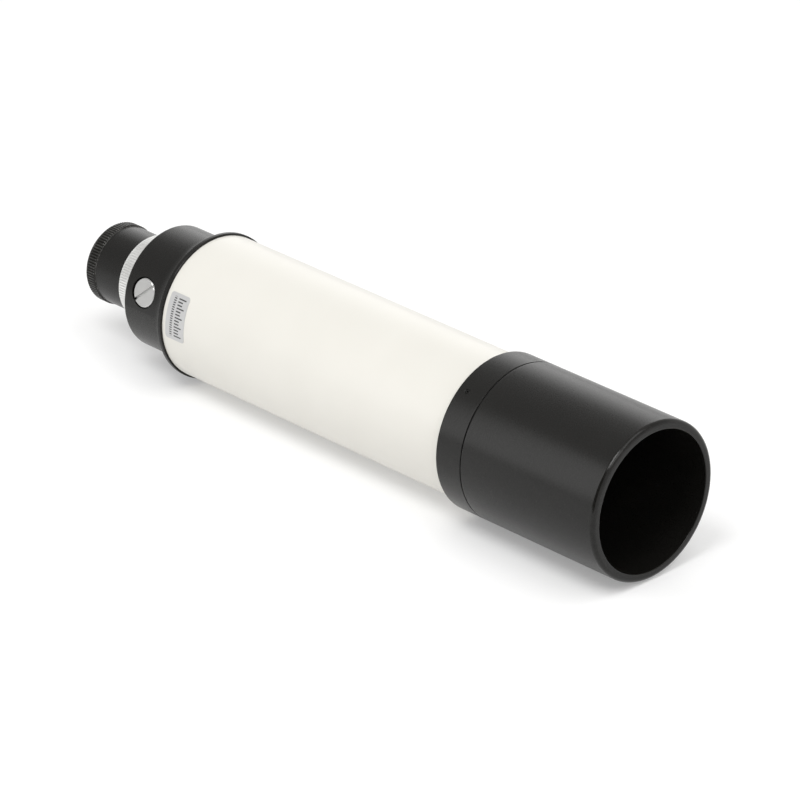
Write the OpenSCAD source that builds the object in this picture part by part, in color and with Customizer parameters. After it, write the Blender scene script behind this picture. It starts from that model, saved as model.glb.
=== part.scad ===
// Straight-through 7x50 finder telescope, built as it comes apart on a bench.
// +X points along the optical axis towards the objective, +Z is up, units are millimetres.
// The origin is on the optical axis, in the middle of the bare stretch of tube that the
// finder's rings grip. Places along the axis are given as distances behind the front rim.

/* [Dew shield] */
// Outside diameter of the dew shield and of the objective cell's ring
shield_od = 62; // [61.5:0.1:66]
// Bore of the dew shield
shield_bore = 55.2; // [54.6:0.1:56]
// Length of the dew shield, from its rim to the seam with the cell
shield_len = 67.1; // [50:0.1:110]
// Radius of the rim's outer edge
rim_round = 1.6; // [0.4:0.1:2.2]

/* [Objective] */
// Length of the cell's outer ring, behind the seam
cell_ring_len = 12.6; // [11:0.1:20]
// Diameter of the objective's two lenses
objective_d = 52; // [50:0.1:52]
// Length of the thread that the dew shield screws onto
shield_thread = 6; // [5:0.5:6]
// Nominal diameter of the three screws that lock the cell
cell_screw_d = 2; // [2:0.5:3]
// Angle of the first locking screw from straight up, towards -Y
cell_screw_angle = 38.5; // [0:0.5:119]

/* [Main tube] */
// Outside diameter of the white tube
tube_od = 57.4; // [57:0.1:58.4]
// Wall of the white tube
tube_wall = 1.85; // [1.5:0.05:2]
// Length of white tube in view, from the cell to the rear flange
tube_view = 152.5; // [120:0.5:260]

/* [Label] */
// Width of the blank label along the tube
label_w = 10.3; // [6:0.1:16]
// Length of the label round the tube
label_len = 18.7; // [10:0.1:30]
// Angle of the label's middle from straight up, towards -Y
label_angle = 76.8; // [0:0.1:180]

/* [Rear housing] */
// Diameter of the flange that meets the white tube
flange_od = 59; // [58.6:0.1:61]
// Thickness of the flange
flange_len = 1.9; // [1.2:0.1:2.4]
// Diameter of the housing behind the flange
housing_od = 49.6; // [48:0.1:52]
// Length of the housing from the flange's front face
housing_len = 26.4; // [26:0.1:30]
// Angle of the illuminator port from straight up, towards -Y
port_angle = 71.7; // [0:0.1:180]
// Diameter of the port's counterbore
port_seat_d = 12.4; // [12:0.1:13]
// Diameter of the plug's head
plug_d = 11.4; // [10.6:0.1:11.6]
// Angle of the plug's slot from the tube's length
slot_angle = 43; // [0:1:180]

/* [Eyepiece] */
// Outside diameter of the bright lock ring
lock_od = 34.5; // [33.6:0.1:36]
// Width of the lock ring
lock_len = 8; // [6:0.1:8]
// Serrations round the lock ring
lock_teeth = 100; // [60:1:140]
// Diameter of the eyepiece barrel in view
barrel_od = 31.6; // [31.2:0.1:31.7]
// Outside diameter of the knurled cap
cap_od = 32.7; // [32.2:0.1:34]
// Width of the knurled cap
cap_len = 5.4; // [4.4:0.1:8]
// Ribs round the knurled cap
cap_teeth = 90; // [60:1:120]

/* [Hidden] */

$fn = 96;

// Radial gap of a thread or sliding fit between two pieces
fit = 0.05;
// Gap between two flat faces that only just miss each other
face_gap = 0.1;
// Small bevel on the turned edges
edge = 0.3;

// Radii
shield_r = shield_od / 2;
tube_r = tube_od / 2;
tube_bore_r = tube_r - tube_wall;
objective_r = objective_d / 2;
clear_r = 25;                       // half the 50 mm clear aperture
cell_nose_r = shield_r - 2.05;      // the thread under the dew shield
housing_r = housing_od / 2;
flange_r = flange_od / 2;
reticle_seat_r = 17;
thread_r = 15.4;                    // the eyepiece barrel's thread
barrel_r = barrel_od / 2;
barrel_bore_r = 13.5;
field_r = 10.8;                     // half of the image that the reticle frames
cap_r = cap_od / 2;
lock_r = lock_od / 2;

// Distances behind the front rim
seam_at = shield_len;
cell_nose_at = seam_at - shield_thread;
seat_at = seam_at + 5.5;                        // the shoulder behind the objective
tube_front_at = seam_at + 6.4;                  // the white tube's front end, inside the cell
cell_ring_end = seam_at + cell_ring_len;
cell_end = cell_ring_end + 4.3;
cell_screw_at = seam_at + 8.2;
tube_end = cell_ring_end + tube_view;
housing_end = tube_end + housing_len;
spigot_front = tube_end - 10;
reticle_seat_at = tube_end + 17.4;              // the shoulder that the reticle cell stops at
port_at = tube_end + 16.5;
boss_end = housing_end + 4;
lock_front = boss_end + 0.3;
lock_end = lock_front + lock_len;
barrel_front = reticle_seat_at + 2.4;
barrel_step = lock_end - 1.9;
cap_front = lock_end + 15.1;
cap_end = cap_front + cap_len;
lens_front = barrel_front + 2.6;                // front end of the inner lens tube
lens_end = cap_front - 1.8;
field_lens_at = lens_front + 1;
eye_seat_at = lens_end - 6.6;                   // the shoulder in front of the eye lens

// The middle of the stretch between the cell and the label, where the rings grip
label_front = tube_end - 12.3;
origin_at = (cell_ring_end + label_front) / 2;

anodised = [0.10, 0.10, 0.095];
bright = [0.86, 0.86, 0.85];
white = [0.95, 0.94, 0.90];
glass = [0.75, 0.88, 0.92, 0.5];

// ---- Helpers ----

// Height of a spherical surface of radius r above its edge circle's plane, at height h
function sag(r, h) = r - sqrt(r * r - h * h);

// Place children, drawn with +Z as the outward direction, at an angle round the tube
module around(behind, angle) {
    translate([origin_at - behind, 0, 0]) rotate([angle, 0, 0]) children();
}

// A plain rod along the axis between two distances behind the rim
module rod(from, to, r) {
    translate([origin_at - to, 0, 0]) rotate([0, 90, 0]) cylinder(h = to - from, r = r);
}

// A plain ring along the axis
module ring(from, to, outer, inner) {
    difference() {
        rod(from, to, outer);
        rod(from - 1, to + 1, inner);
    }
}

// A turned piece: its outline is a list of [distance behind the rim, radius]
module turned(outline) {
    rotate([0, 90, 0]) rotate_extrude() polygon([for (p = outline) [p[1], origin_at - p[0]]]);
}

// A bar with straight V ribs round it, between two distances behind the rim
module ribbed(from, to, r, depth, count) {
    step = 180 / count;
    translate([origin_at - to, 0, 0]) rotate([0, 90, 0])
        linear_extrude(to - from)
            polygon([for (i = [0 : 2 * count - 1])
                let (rr = i % 2 == 0 ? r : r - depth) [rr * cos(i * step), rr * sin(i * step)]]);
}

// One lens: curvatures are positive where a face bulges outwards, and 0 for a flat face
module lens(front, rear, r, front_curve, rear_curve) {
    steps = 16;
    function bulge(c, h) = c == 0 ? 0 : sign(c) * sag(abs(c), h);
    color(glass)
        turned(concat(
            [for (i = [0 : steps]) let (h = r * i / steps) [front + bulge(front_curve, h), h]],
            [for (i = [steps : -1 : 0]) let (h = r * i / steps) [rear - bulge(rear_curve, h), h]]
        ));
}

// ---- Front end ----

module dew_shield() {
    thread_bore = cell_nose_r + 2 * fit;
    rim = [for (a = [0 : 15 : 90])
        [rim_round * (1 - sin(a)), shield_r - rim_round * (1 - cos(a))]];
    color(anodised)
        turned(concat(
            [[edge, shield_bore / 2], [0, shield_bore / 2 + edge]],
            [for (i = [len(rim) - 1 : -1 : 0]) rim[i]],
            [
                [seam_at - edge, shield_r], [seam_at, shield_r - edge],
                [seam_at, thread_bore],
                [cell_nose_at - face_gap, thread_bore], [cell_nose_at - face_gap, shield_bore / 2]
            ]
        ));
}

module objective_cell() {
    skirt_bore = tube_r + fit;
    color(anodised)
        difference() {
            turned([
                [cell_nose_at, objective_r + fit], [cell_nose_at, cell_nose_r - edge],
                [cell_nose_at + edge, cell_nose_r], [seam_at, cell_nose_r],
                [seam_at, shield_r - edge], [seam_at + edge, shield_r],
                [cell_ring_end - edge, shield_r], [cell_ring_end, shield_r - edge],
                [cell_ring_end, skirt_bore], [tube_front_at, skirt_bore],
                [tube_front_at, tube_bore_r - fit], [cell_end, tube_bore_r - fit],
                [cell_end, clear_r], [seat_at, clear_r], [seat_at, objective_r + fit]
            ]);
            for (i = [0 : 2])
                around(cell_screw_at, cell_screw_angle + 120 * i)
                    translate([0, 0, tube_r - 1]) cylinder(h = 5, d = cell_screw_d + 2 * fit);
        }
}

// Three cup-point screws that lock the cell on the tube, each with a hexagon socket
module cell_screws() {
    socket_d = cell_screw_d * 0.55;
    screw_len = shield_r - tube_r - 3 * fit - 0.4;
    color(anodised)
        for (i = [0 : 2])
            around(cell_screw_at, cell_screw_angle + 120 * i)
                translate([0, 0, tube_r + fit])
                    difference() {
                        cylinder(h = screw_len, d = cell_screw_d);
                        translate([0, 0, screw_len - 1]) cylinder(h = 2, d = socket_d, $fn = 6);
                    }
}

crown_front = seat_at - 11.3;       // the crown's front vertex
crown_rear = crown_front + 8.8;
cement = 0.02;

module objective_ring() {
    color(anodised)
        ring(cell_nose_at + 0.3, crown_front + sag(105, clear_r) - fit, objective_r, clear_r);
}

module objective_crown() {
    lens(crown_front, crown_rear, objective_r, 105, 75);
}

module objective_flint() {
    flint_rear = seat_at + sag(330, clear_r) - face_gap;
    lens(crown_rear + cement, flint_rear, objective_r, -75, 330);
}

// ---- Tube ----

module main_tube() {
    color(white) ring(tube_front_at + face_gap, tube_end, tube_r, tube_bore_r);
}

// A quarter of a circle, anticlockwise from an angle, as points
function corner_arc(x, y, r, from) = [for (a = [from : 15 : from + 90]) [x + r * cos(a), y + r * sin(a)]];

// A blank foil label with round corners, bent round the tube
module name_label() {
    corner = 1.2;
    thickness = 0.15;
    glue = 0.02;
    chord = 2 * tube_r * sin(label_len / tube_r * 90 / PI);
    x = label_w / 2 - corner;
    y = chord / 2 - corner;
    color([0.80, 0.80, 0.79])
        intersection() {
            ring(label_front - 1, label_front + label_w + 1, tube_r + glue + thickness, tube_r + glue);
            around(label_front + label_w / 2, label_angle)
                linear_extrude(tube_r + 2)
                    polygon(concat(
                        corner_arc(x, y, corner, 0), corner_arc(-x, y, corner, 90),
                        corner_arc(-x, -y, corner, 180), corner_arc(x, -y, corner, 270)
                    ));
        }
}

// A stop ring with a sharp-edged aperture and a short rim that grips the tube
module baffle(at, aperture_r) {
    rim_len = 6;
    plate = 1.2;
    wall = 1;
    outer = tube_bore_r - fit;
    color(anodised)
        turned([
            [at, outer], [at + rim_len, outer], [at + rim_len, outer - wall],
            [at + plate, outer - wall], [at + plate, aperture_r + plate], [at, aperture_r]
        ]);
}

module front_baffle() { baffle(cell_ring_end + 38, 22); }
module rear_baffle() { baffle(cell_ring_end + 95, 17.5); }

// ---- Rear housing and reticle ----

module rear_housing() {
    neck_r = housing_r + 1.3;
    neck_end = tube_end + 7.4;
    plug_floor = housing_r - 3;
    thread_d = 8 + 2 * fit;
    color(anodised)
        difference() {
            turned([
                [spigot_front, tube_bore_r - fit - 2.2], [spigot_front, tube_bore_r - fit],
                [tube_end, tube_bore_r - fit], [tube_end, flange_r - edge],
                [tube_end + edge, flange_r], [tube_end + flange_len - edge, flange_r],
                [tube_end + flange_len, flange_r - edge], [tube_end + flange_len, neck_r],
                [neck_end, housing_r], [housing_end - edge, housing_r],
                [housing_end, housing_r - edge], [housing_end, thread_r + 1.4],
                [boss_end, thread_r + 1.4], [boss_end, thread_r + fit],
                [reticle_seat_at, thread_r + fit], [reticle_seat_at, reticle_seat_r],
                [tube_end + 7, reticle_seat_r], [tube_end + 7, tube_bore_r - fit - 5],
                [tube_end + 1, tube_bore_r - fit - 2.2]
            ]);
            around(port_at, port_angle) {
                translate([0, 0, plug_floor]) cylinder(h = 10, d = port_seat_d);
                translate([0, 0, reticle_seat_r - 2]) cylinder(h = 10, d = thread_d);
            }
        }
}

// Coin-slotted screw plug that closes the illuminator port
module port_plug() {
    face = housing_r - 0.4;
    head = 1.85;
    thread_len = 4.7;
    slot_w = 1.1;
    slot_depth = 1.1;
    bevel = 0.35;
    color(bright)
        around(port_at, port_angle)
            translate([0, 0, face])
                difference() {
                    rotate_extrude() polygon([
                        [0, 0], [plug_d / 2 - bevel, 0], [plug_d / 2, -bevel],
                        [plug_d / 2, -head], [4, -head], [4, -head - thread_len + edge],
                        [4 - edge, -head - thread_len], [0, -head - thread_len]
                    ]);
                    rotate([0, 0, slot_angle])
                        translate([-plug_d, -slot_w / 2, -slot_depth])
                            cube([2 * plug_d, slot_w, 2 * slot_depth]);
                }
}

// Sealing washer under the plug's head
module port_washer() {
    color([0.05, 0.05, 0.05])
        around(port_at, port_angle)
            translate([0, 0, housing_r - 3 + fit])
                difference() {
                    cylinder(h = 0.65, r = plug_d / 2 - 0.3);
                    translate([0, 0, -1]) cylinder(h = 3, r = 4 + fit);
                }
}

reticle_cell_front = reticle_seat_at - 6.2;
reticle_front = reticle_seat_at - 2.8;
reticle_r = 11.6;

module reticle_cell() {
    color(anodised)
        difference() {
            turned([
                [reticle_cell_front, field_r], [reticle_cell_front, reticle_seat_r - fit],
                [reticle_seat_at, reticle_seat_r - fit], [reticle_seat_at, reticle_r + fit],
                [reticle_front, reticle_r + fit], [reticle_front, field_r]
            ]);
            // window that lets the illuminator's light reach the edge of the glass
            around(reticle_front + 1, port_angle)
                translate([0, 0, field_r - 1]) cylinder(h = 10, d = 3);
        }
}

// Glass disc whose rear face carries two engraved lines, crossed
module reticle_glass() {
    line_w = 0.08;
    line_depth = 0.05;
    thick = 1.6;
    color(glass)
        difference() {
            rod(reticle_front, reticle_front + thick, reticle_r);
            for (a = [0, 90])
                translate([origin_at - reticle_front - thick, 0, 0]) rotate([a, 0, 0])
                    cube([2 * line_depth, 2 * field_r, line_w], center = true);
        }
}

module reticle_ring() {
    color(anodised) ring(reticle_front + 1.6, reticle_seat_at - face_gap, reticle_r, field_r);
}

// ---- Eyepiece ----

module lock_ring() {
    recess_r = barrel_r + 0.15;
    recess_at = lock_end - 4.2;
    color(bright)
        difference() {
            union() {
                ribbed(lock_front + 0.5, lock_end - 0.5, lock_r, 0.25, lock_teeth);
                turned([
                    [lock_front, 0], [lock_front, lock_r - 0.6],
                    [lock_front + edge, lock_r - 0.3], [lock_end - edge, lock_r - 0.3],
                    [lock_end, lock_r - 0.6], [lock_end, 0]
                ]);
            }
            rod(lock_front - 1, lock_end + 1, thread_r + fit);
            rod(recess_at, lock_end + 1, recess_r);
        }
}

module eyepiece_barrel() {
    lip_r = field_r + 0.6;
    color(anodised)
        turned([
            [barrel_front, lip_r], [barrel_front, thread_r - edge],
            [barrel_front + edge, thread_r], [barrel_step, thread_r],
            [barrel_step, barrel_r - edge / 2], [barrel_step + edge / 2, barrel_r],
            [cap_front, barrel_r], [cap_front, barrel_bore_r],
            [lens_front - face_gap, barrel_bore_r], [lens_front - face_gap, lip_r]
        ]);
}

module eyepiece_cap() {
    spigot_r = barrel_bore_r - fit;
    eye_r = 8.4;
    rim_r = cap_r - 0.4;                // just inside the ribs' valleys
    color(anodised)
        difference() {
            union() {
                ribbed(cap_front, cap_end - 0.5, cap_r, 0.35, cap_teeth);
                rod(lens_end + face_gap, cap_front + 1, spigot_r);
                turned([
                    [cap_end - 1, 0], [cap_end - 1, rim_r], [cap_end - edge, rim_r],
                    [cap_end, rim_r - edge], [cap_end, 0]
                ]);
            }
            // the opening flares towards the eye
            turned([
                [lens_end - 1, 0], [lens_end - 1, eye_r], [cap_front, eye_r],
                [cap_end + 1, eye_r + 3.6], [cap_end + 1, 0]
            ]);
        }
}

field_lens_r = 12.4;
field_lens_rear = field_lens_at + 1.9 + sag(22, field_lens_r);     // its rear vertex

// Inner tube that carries the eyepiece's lenses
module lens_tube() {
    field_seat_r = field_lens_r + fit;
    // the shoulder just clears the field lens's bulge where it meets the bore
    shoulder_at = field_lens_rear - sag(22, field_r) + fit;
    eye_seat_r = 8.5 + fit;
    color(anodised)
        turned([
            [lens_front, field_seat_r], [lens_front, barrel_bore_r - fit],
            [lens_end, barrel_bore_r - fit], [lens_end, eye_seat_r],
            [eye_seat_at, eye_seat_r], [eye_seat_at, 7.8],
            [eye_seat_at - 9, field_r], [shoulder_at, field_r], [shoulder_at, field_seat_r]
        ]);
}

module field_lens_ring() {
    color(anodised) ring(lens_front, field_lens_at - fit, field_lens_r, 11.3);
}

// Flat in front, bulging towards the eye
module field_lens() {
    lens(field_lens_at, field_lens_rear, field_lens_r, 0, 22);
}

eye_crown_front = eye_seat_at - sag(18, 7.8) + 0.05;
eye_crown_rear = eye_crown_front + 6;

module eye_lens_crown() {
    lens(eye_crown_front, eye_crown_rear, 8.5, 18, 14);
}

module eye_lens_flint() {
    lens(eye_crown_rear + cement, eye_crown_rear + 1.9, 8.5, -14, 0);
}

module eye_lens_ring() {
    color(anodised) ring(eye_crown_rear + 1.95, lens_end, 8.5, 7.6);
}

main_tube();
name_label();
front_baffle();
rear_baffle();
objective_cell();
objective_ring();
objective_crown();
objective_flint();
cell_screws();
dew_shield();
rear_housing();
reticle_cell();
reticle_glass();
reticle_ring();
port_plug();
port_washer();
lock_ring();
eyepiece_barrel();
eyepiece_cap();
lens_tube();
field_lens();
field_lens_ring();
eye_lens_crown();
eye_lens_flint();
eye_lens_ring();
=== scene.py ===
import math

import bmesh
import bpy
from mathutils import Matrix, Vector


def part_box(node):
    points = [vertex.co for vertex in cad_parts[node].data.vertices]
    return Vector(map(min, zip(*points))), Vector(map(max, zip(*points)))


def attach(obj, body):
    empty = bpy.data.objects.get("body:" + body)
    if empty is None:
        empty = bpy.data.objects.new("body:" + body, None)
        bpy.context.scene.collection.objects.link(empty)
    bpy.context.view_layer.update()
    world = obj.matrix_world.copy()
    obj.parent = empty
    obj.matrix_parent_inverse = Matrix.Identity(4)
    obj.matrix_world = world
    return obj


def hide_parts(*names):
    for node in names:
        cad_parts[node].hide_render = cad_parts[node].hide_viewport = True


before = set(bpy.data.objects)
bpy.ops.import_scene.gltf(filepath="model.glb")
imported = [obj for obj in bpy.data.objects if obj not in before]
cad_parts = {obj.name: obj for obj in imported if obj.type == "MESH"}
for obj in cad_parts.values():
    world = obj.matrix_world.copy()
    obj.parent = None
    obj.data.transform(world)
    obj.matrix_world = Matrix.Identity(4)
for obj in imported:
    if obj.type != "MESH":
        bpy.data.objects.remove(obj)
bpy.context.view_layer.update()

# Lengths are written in millimetres and turned into metres by this factor
MM = 0.001


# ---- Places, read from the frame ----

def front_of(node):
    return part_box(node)[1].x


def rear_of(node):
    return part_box(node)[0].x


def radius_of(node):
    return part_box(node)[1].z / MM


RIM_X = front_of("dew_shield")


def behind(x):
    """Millimetres behind the front rim."""
    return (RIM_X - x) / MM


# Distances are in millimetres behind the front rim, radii in millimetres, and angles in degrees
# from straight up towards -Y
SHIELD_R = radius_of("dew_shield")
SHIELD_BORE_R = 27.6
SEAM = behind(rear_of("dew_shield"))
# Width of the groove in sight between the shield and the cell
SEAM_GAP = 0.36
CELL_NOSE = behind(front_of("objective_cell"))
CELL_END = behind(rear_of("objective_cell"))
CELL_RING_END = SEAM + 12.6
CELL_NOSE_R = SHIELD_R - 2.05
CELL_SCREW_AT = SEAM + 8.2
CELL_SCREW_ANGLES = (38.5, 158.5, 278.5)
CELL_SCREW_R = 1.0
SEAT = SEAM + 5.5
LENS_R = 26.0
CLEAR_R = 25.0
CROWN_FRONT = behind(front_of("objective_crown"))

TUBE_R = radius_of("main_tube")
TUBE_BORE_R = TUBE_R - 1.85
TUBE_FRONT = behind(front_of("main_tube"))
TUBE_END = behind(rear_of("main_tube"))
LABEL_FRONT = behind(front_of("name_label"))
LABEL_END = behind(rear_of("name_label"))
LABEL_LEN = 18.7
LABEL_ANGLE = 76.8

FLANGE_R = radius_of("rear_housing")
FLANGE_END = TUBE_END + 1.9
HOUSING_FRONT = behind(front_of("rear_housing"))
HOUSING_R = 24.8
NECK_END = TUBE_END + 7.4
HOUSING_END = TUBE_END + 26.4
BOSS_END = behind(rear_of("rear_housing"))
RETICLE_SEAT = TUBE_END + 17.4
PORT_AT = TUBE_END + 16.5
PORT_ANGLE = 71.7
PORT_R = 6.2
PORT_FLOOR = HOUSING_R - 3
PLUG_R = 5.7
PLUG_THREAD_R = 4.0
PLUG_SLOT_ANGLE = 43

LOCK_FRONT = behind(front_of("lock_ring"))
LOCK_END = behind(rear_of("lock_ring"))
LOCK_R = radius_of("lock_ring")
LOCK_TEETH = 100
BARREL_FRONT = behind(front_of("eyepiece_barrel"))
BARREL_END = behind(rear_of("eyepiece_barrel"))
BARREL_R = 15.8
BARREL_BORE_R = 13.5
BARREL_STEP = LOCK_END - 1.9
THREAD_R = 15.4
CAP_END = behind(rear_of("eyepiece_cap"))
CAP_R = radius_of("eyepiece_cap")
CAP_TEETH = 90
EYE_LENS_END = behind(rear_of("lens_tube"))

# Radial gap of a sliding fit, and the gap between flat faces that only just miss each other
FIT = 0.05
FACE_GAP = 0.1
# Every thread's pitch, and the depth of the threads on the finder's axis
PITCH = 1.0
THREAD_DEPTH = 0.28
# Fillets smaller than this count as edges that can be rubbed
LARGEST_EDGE = 3
SEGMENTS = 240
GLASS_SEGMENTS = 128
# Gap between lenses that touch or are cemented
CEMENT = 0.02


# ---- Mesh helpers ----

def axis_matrix():
    """Local Z runs back along the optical axis from the front rim, and local X points up."""
    return Matrix.Translation((RIM_X, 0, 0)) @ Matrix.Rotation(-math.pi / 2, 4, "Y")


def around_matrix(at, angle, radius=0.0):
    """Local Z points out of the tube, at an angle in degrees from straight up towards -Y."""
    on_axis = Matrix.Translation((RIM_X - at * MM, 0, 0))
    turned = Matrix.Rotation(math.radians(angle), 4, "X")
    return on_axis @ turned @ Matrix.Translation((0, 0, radius * MM))


def rounded(outline, steps=5):
    """Turns corners given as (distance, radius, fillet) into arcs.

    Returns (distance, radius, wear) points, where wear is one on an edge's arc."""
    points = []
    for i, corner in enumerate(outline):
        here = Vector(corner[:2])
        if len(corner) < 3:
            points.append((here.x, here.y, 0.0))
            continue
        fillet = corner[2]
        before = (Vector(outline[i - 1][:2]) - here).normalized()
        after = (Vector(outline[(i + 1) % len(outline)][:2]) - here).normalized()
        half = before.angle(after) / 2
        centre = here + (before + after).normalized() * fillet / math.sin(half)
        start = here + before * fillet / math.tan(half) - centre
        end = here + after * fillet / math.tan(half) - centre
        turn = math.atan2(start.cross(end), start.dot(end))
        for k in range(steps + 1):
            p = centre + Matrix.Rotation(turn * k / steps, 2) @ start
            points.append((p.x, p.y, 1.0 if fillet < LARGEST_EDGE else 0.0))
    return points


def subdivided(points, longest=3.0, near=0.35):
    """Adds points on the straight stretches, no further apart than longest.

    One lies near each end of a stretch, to hold the edge there."""
    result = []
    for i, (at, radius, wear) in enumerate(points):
        result.append((at, radius, wear))
        end_at, end_radius, _ = points[(i + 1) % len(points)]
        length = math.hypot(end_at - at, end_radius - radius)
        if length < 3 * near:
            continue
        pieces = max(1, math.ceil((length - 2 * near) / longest))
        steps = [near + (length - 2 * near) * k / pieces for k in range(pieces + 1)]
        for step in steps:
            share = step / length
            result.append((at + (end_at - at) * share, radius + (end_radius - radius) * share, 0.0))
    return result


def new_piece(name, vertices, faces, wear=None, face_materials=None):
    """A mesh in the scene, with each point's wear and each face's material slot where given."""
    mesh = bpy.data.meshes.new(name)
    mesh.from_pydata(vertices, [], faces)
    if wear:
        mesh.attributes.new("wear", "FLOAT", "POINT").data.foreach_set("value", wear)
    if face_materials:
        mesh.polygons.foreach_set("material_index", face_materials)
    piece = bpy.data.objects.new(name, mesh)
    bpy.context.scene.collection.objects.link(piece)
    smooth(piece)
    return piece


def smooth(piece):
    """Consistent normals, smooth shading, and sharp edges where faces meet at a clear angle."""
    sharp_above = math.radians(32)
    mesh = piece.data
    work = bmesh.new()
    work.from_mesh(mesh)
    bmesh.ops.recalc_face_normals(work, faces=work.faces)
    work.to_mesh(mesh)
    work.free()
    mesh.polygons.foreach_set("use_smooth", [True] * len(mesh.polygons))
    mesh.set_sharp_from_angle(angle=sharp_above)


def lathe(name, points, matrix=None, segments=SEGMENTS, shape=None, surface=None):
    """Turns a closed outline of (distance, radius, wear) points about local Z.

    shape(at, radius, turn) may change a point's radius, for ribs and threads. A point that it moves
    inwards is out of a hand's reach and loses its wear. surface(at, radius) gives a face's material
    slot from the middle of its stretch of outline."""
    matrix = matrix or axis_matrix()
    out_of_reach = 0.02
    vertices, wears, rings = [], [], []
    for at, radius, wear in points:
        on_axis = radius < 1e-6
        ring = []
        for k in range(1 if on_axis else segments):
            turn = 2 * math.pi * k / segments
            r = radius if on_axis or shape is None else shape(at, radius, turn)
            ring.append(len(vertices))
            vertices.append(matrix @ Vector((r * math.cos(turn) * MM, r * math.sin(turn) * MM, at * MM)))
            wears.append(wear if r > radius - out_of_reach else 0.0)
        rings.append(ring * segments if on_axis else ring)
    faces, slots = [], []
    for i, ring in enumerate(rings):
        following = rings[(i + 1) % len(rings)]
        middle = [(points[i][n] + points[(i + 1) % len(points)][n]) / 2 for n in (0, 1)]
        for k in range(segments):
            corners = [ring[k], ring[(k + 1) % segments], following[(k + 1) % segments], following[k]]
            corners = list(dict.fromkeys(corners))
            if len(corners) > 2:
                faces.append(corners)
                slots.append(surface(*middle) if surface else 0)
    return new_piece(name, vertices, faces, wears, slots)


def arc_of(curve, front, radius, steps=24):
    """Points of a lens face from the axis outwards. A positive curve bulges towards the front."""
    def sag(h):
        return 0.0 if curve == 0 else math.copysign(abs(curve) - math.sqrt(curve * curve - h * h), curve)
    return [(front + sag(radius * k / steps), radius * k / steps, 0.0) for k in range(steps + 1)]


def thread_wall(start, end, radius):
    """Points along a threaded wall, close enough to carry the thread's shape."""
    points_per_turn = 8
    count = max(2, round(abs(end - start) / PITCH * points_per_turn))
    return [(start + (end - start) * k / count, radius, 0.0) for k in range(count + 1)]


def threaded(start, end, radius, depth):
    """A shape for lathe: a right-handed thread in a wall, fading out at both of its ends.

    The groove goes in from the radius, or outwards where the depth is negative."""
    low, high = min(start, end), max(start, end)
    run_out = 0.6 * PITCH
    flat_root = 1.25

    def shape(at, r, turn):
        if abs(r - radius) > 1e-6 or not low <= at <= high:
            return r
        phase = (at / PITCH - turn / (2 * math.pi)) % 1
        ridge = abs(phase * 2 - 1)
        fade = min(1, (at - low) / run_out, (high - at) / run_out)
        return r - depth * fade * min(1, ridge * flat_root)
    return shape


def ribbed(count, crest, valley, crest_share):
    """A shape for lathe: straight ribs, with a flat crest over a share of each rib's width."""
    def shape(at, r, turn):
        phase = abs((turn * count / (2 * math.pi)) % 1 - 0.5) * 2
        slope = min(1, max(0, (phase - crest_share) / (1 - crest_share)))
        limit = crest - (crest - valley) * math.sin(slope * math.pi / 2)
        return min(r, limit)
    return shape


def box_tool(name, matrix, low, high):
    """A box between two opposite corners in millimetres, for cutting."""
    corners = [matrix @ Vector((x * MM, y * MM, z * MM))
               for x in (low[0], high[0]) for y in (low[1], high[1]) for z in (low[2], high[2])]
    return new_piece(name, corners, [
        (0, 1, 3, 2), (4, 6, 7, 5), (0, 4, 5, 1), (2, 3, 7, 6), (0, 2, 6, 4), (1, 5, 7, 3)])


def cut(piece, *tools):
    """Takes the tools' volumes out of a piece and deletes the tools."""
    for tool in tools:
        modifier = piece.modifiers.new("cut", "BOOLEAN")
        modifier.operation = "DIFFERENCE"
        modifier.solver = "EXACT"
        modifier.object = tool
    graph = bpy.context.evaluated_depsgraph_get()
    carved = bpy.data.meshes.new_from_object(piece.evaluated_get(graph))
    piece.modifiers.clear()
    piece.data = carved
    for tool in tools:
        bpy.data.objects.remove(tool)
    smooth(piece)


def place(piece, body, slot, nodes, *materials):
    """Gives a piece its materials and its body, and hides the CAD nodes it stands for."""
    piece.data.materials.clear()
    for material in materials:
        piece.data.materials.append(material)
    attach(piece, body)
    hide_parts(*nodes)


# ---- Materials ----

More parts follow.
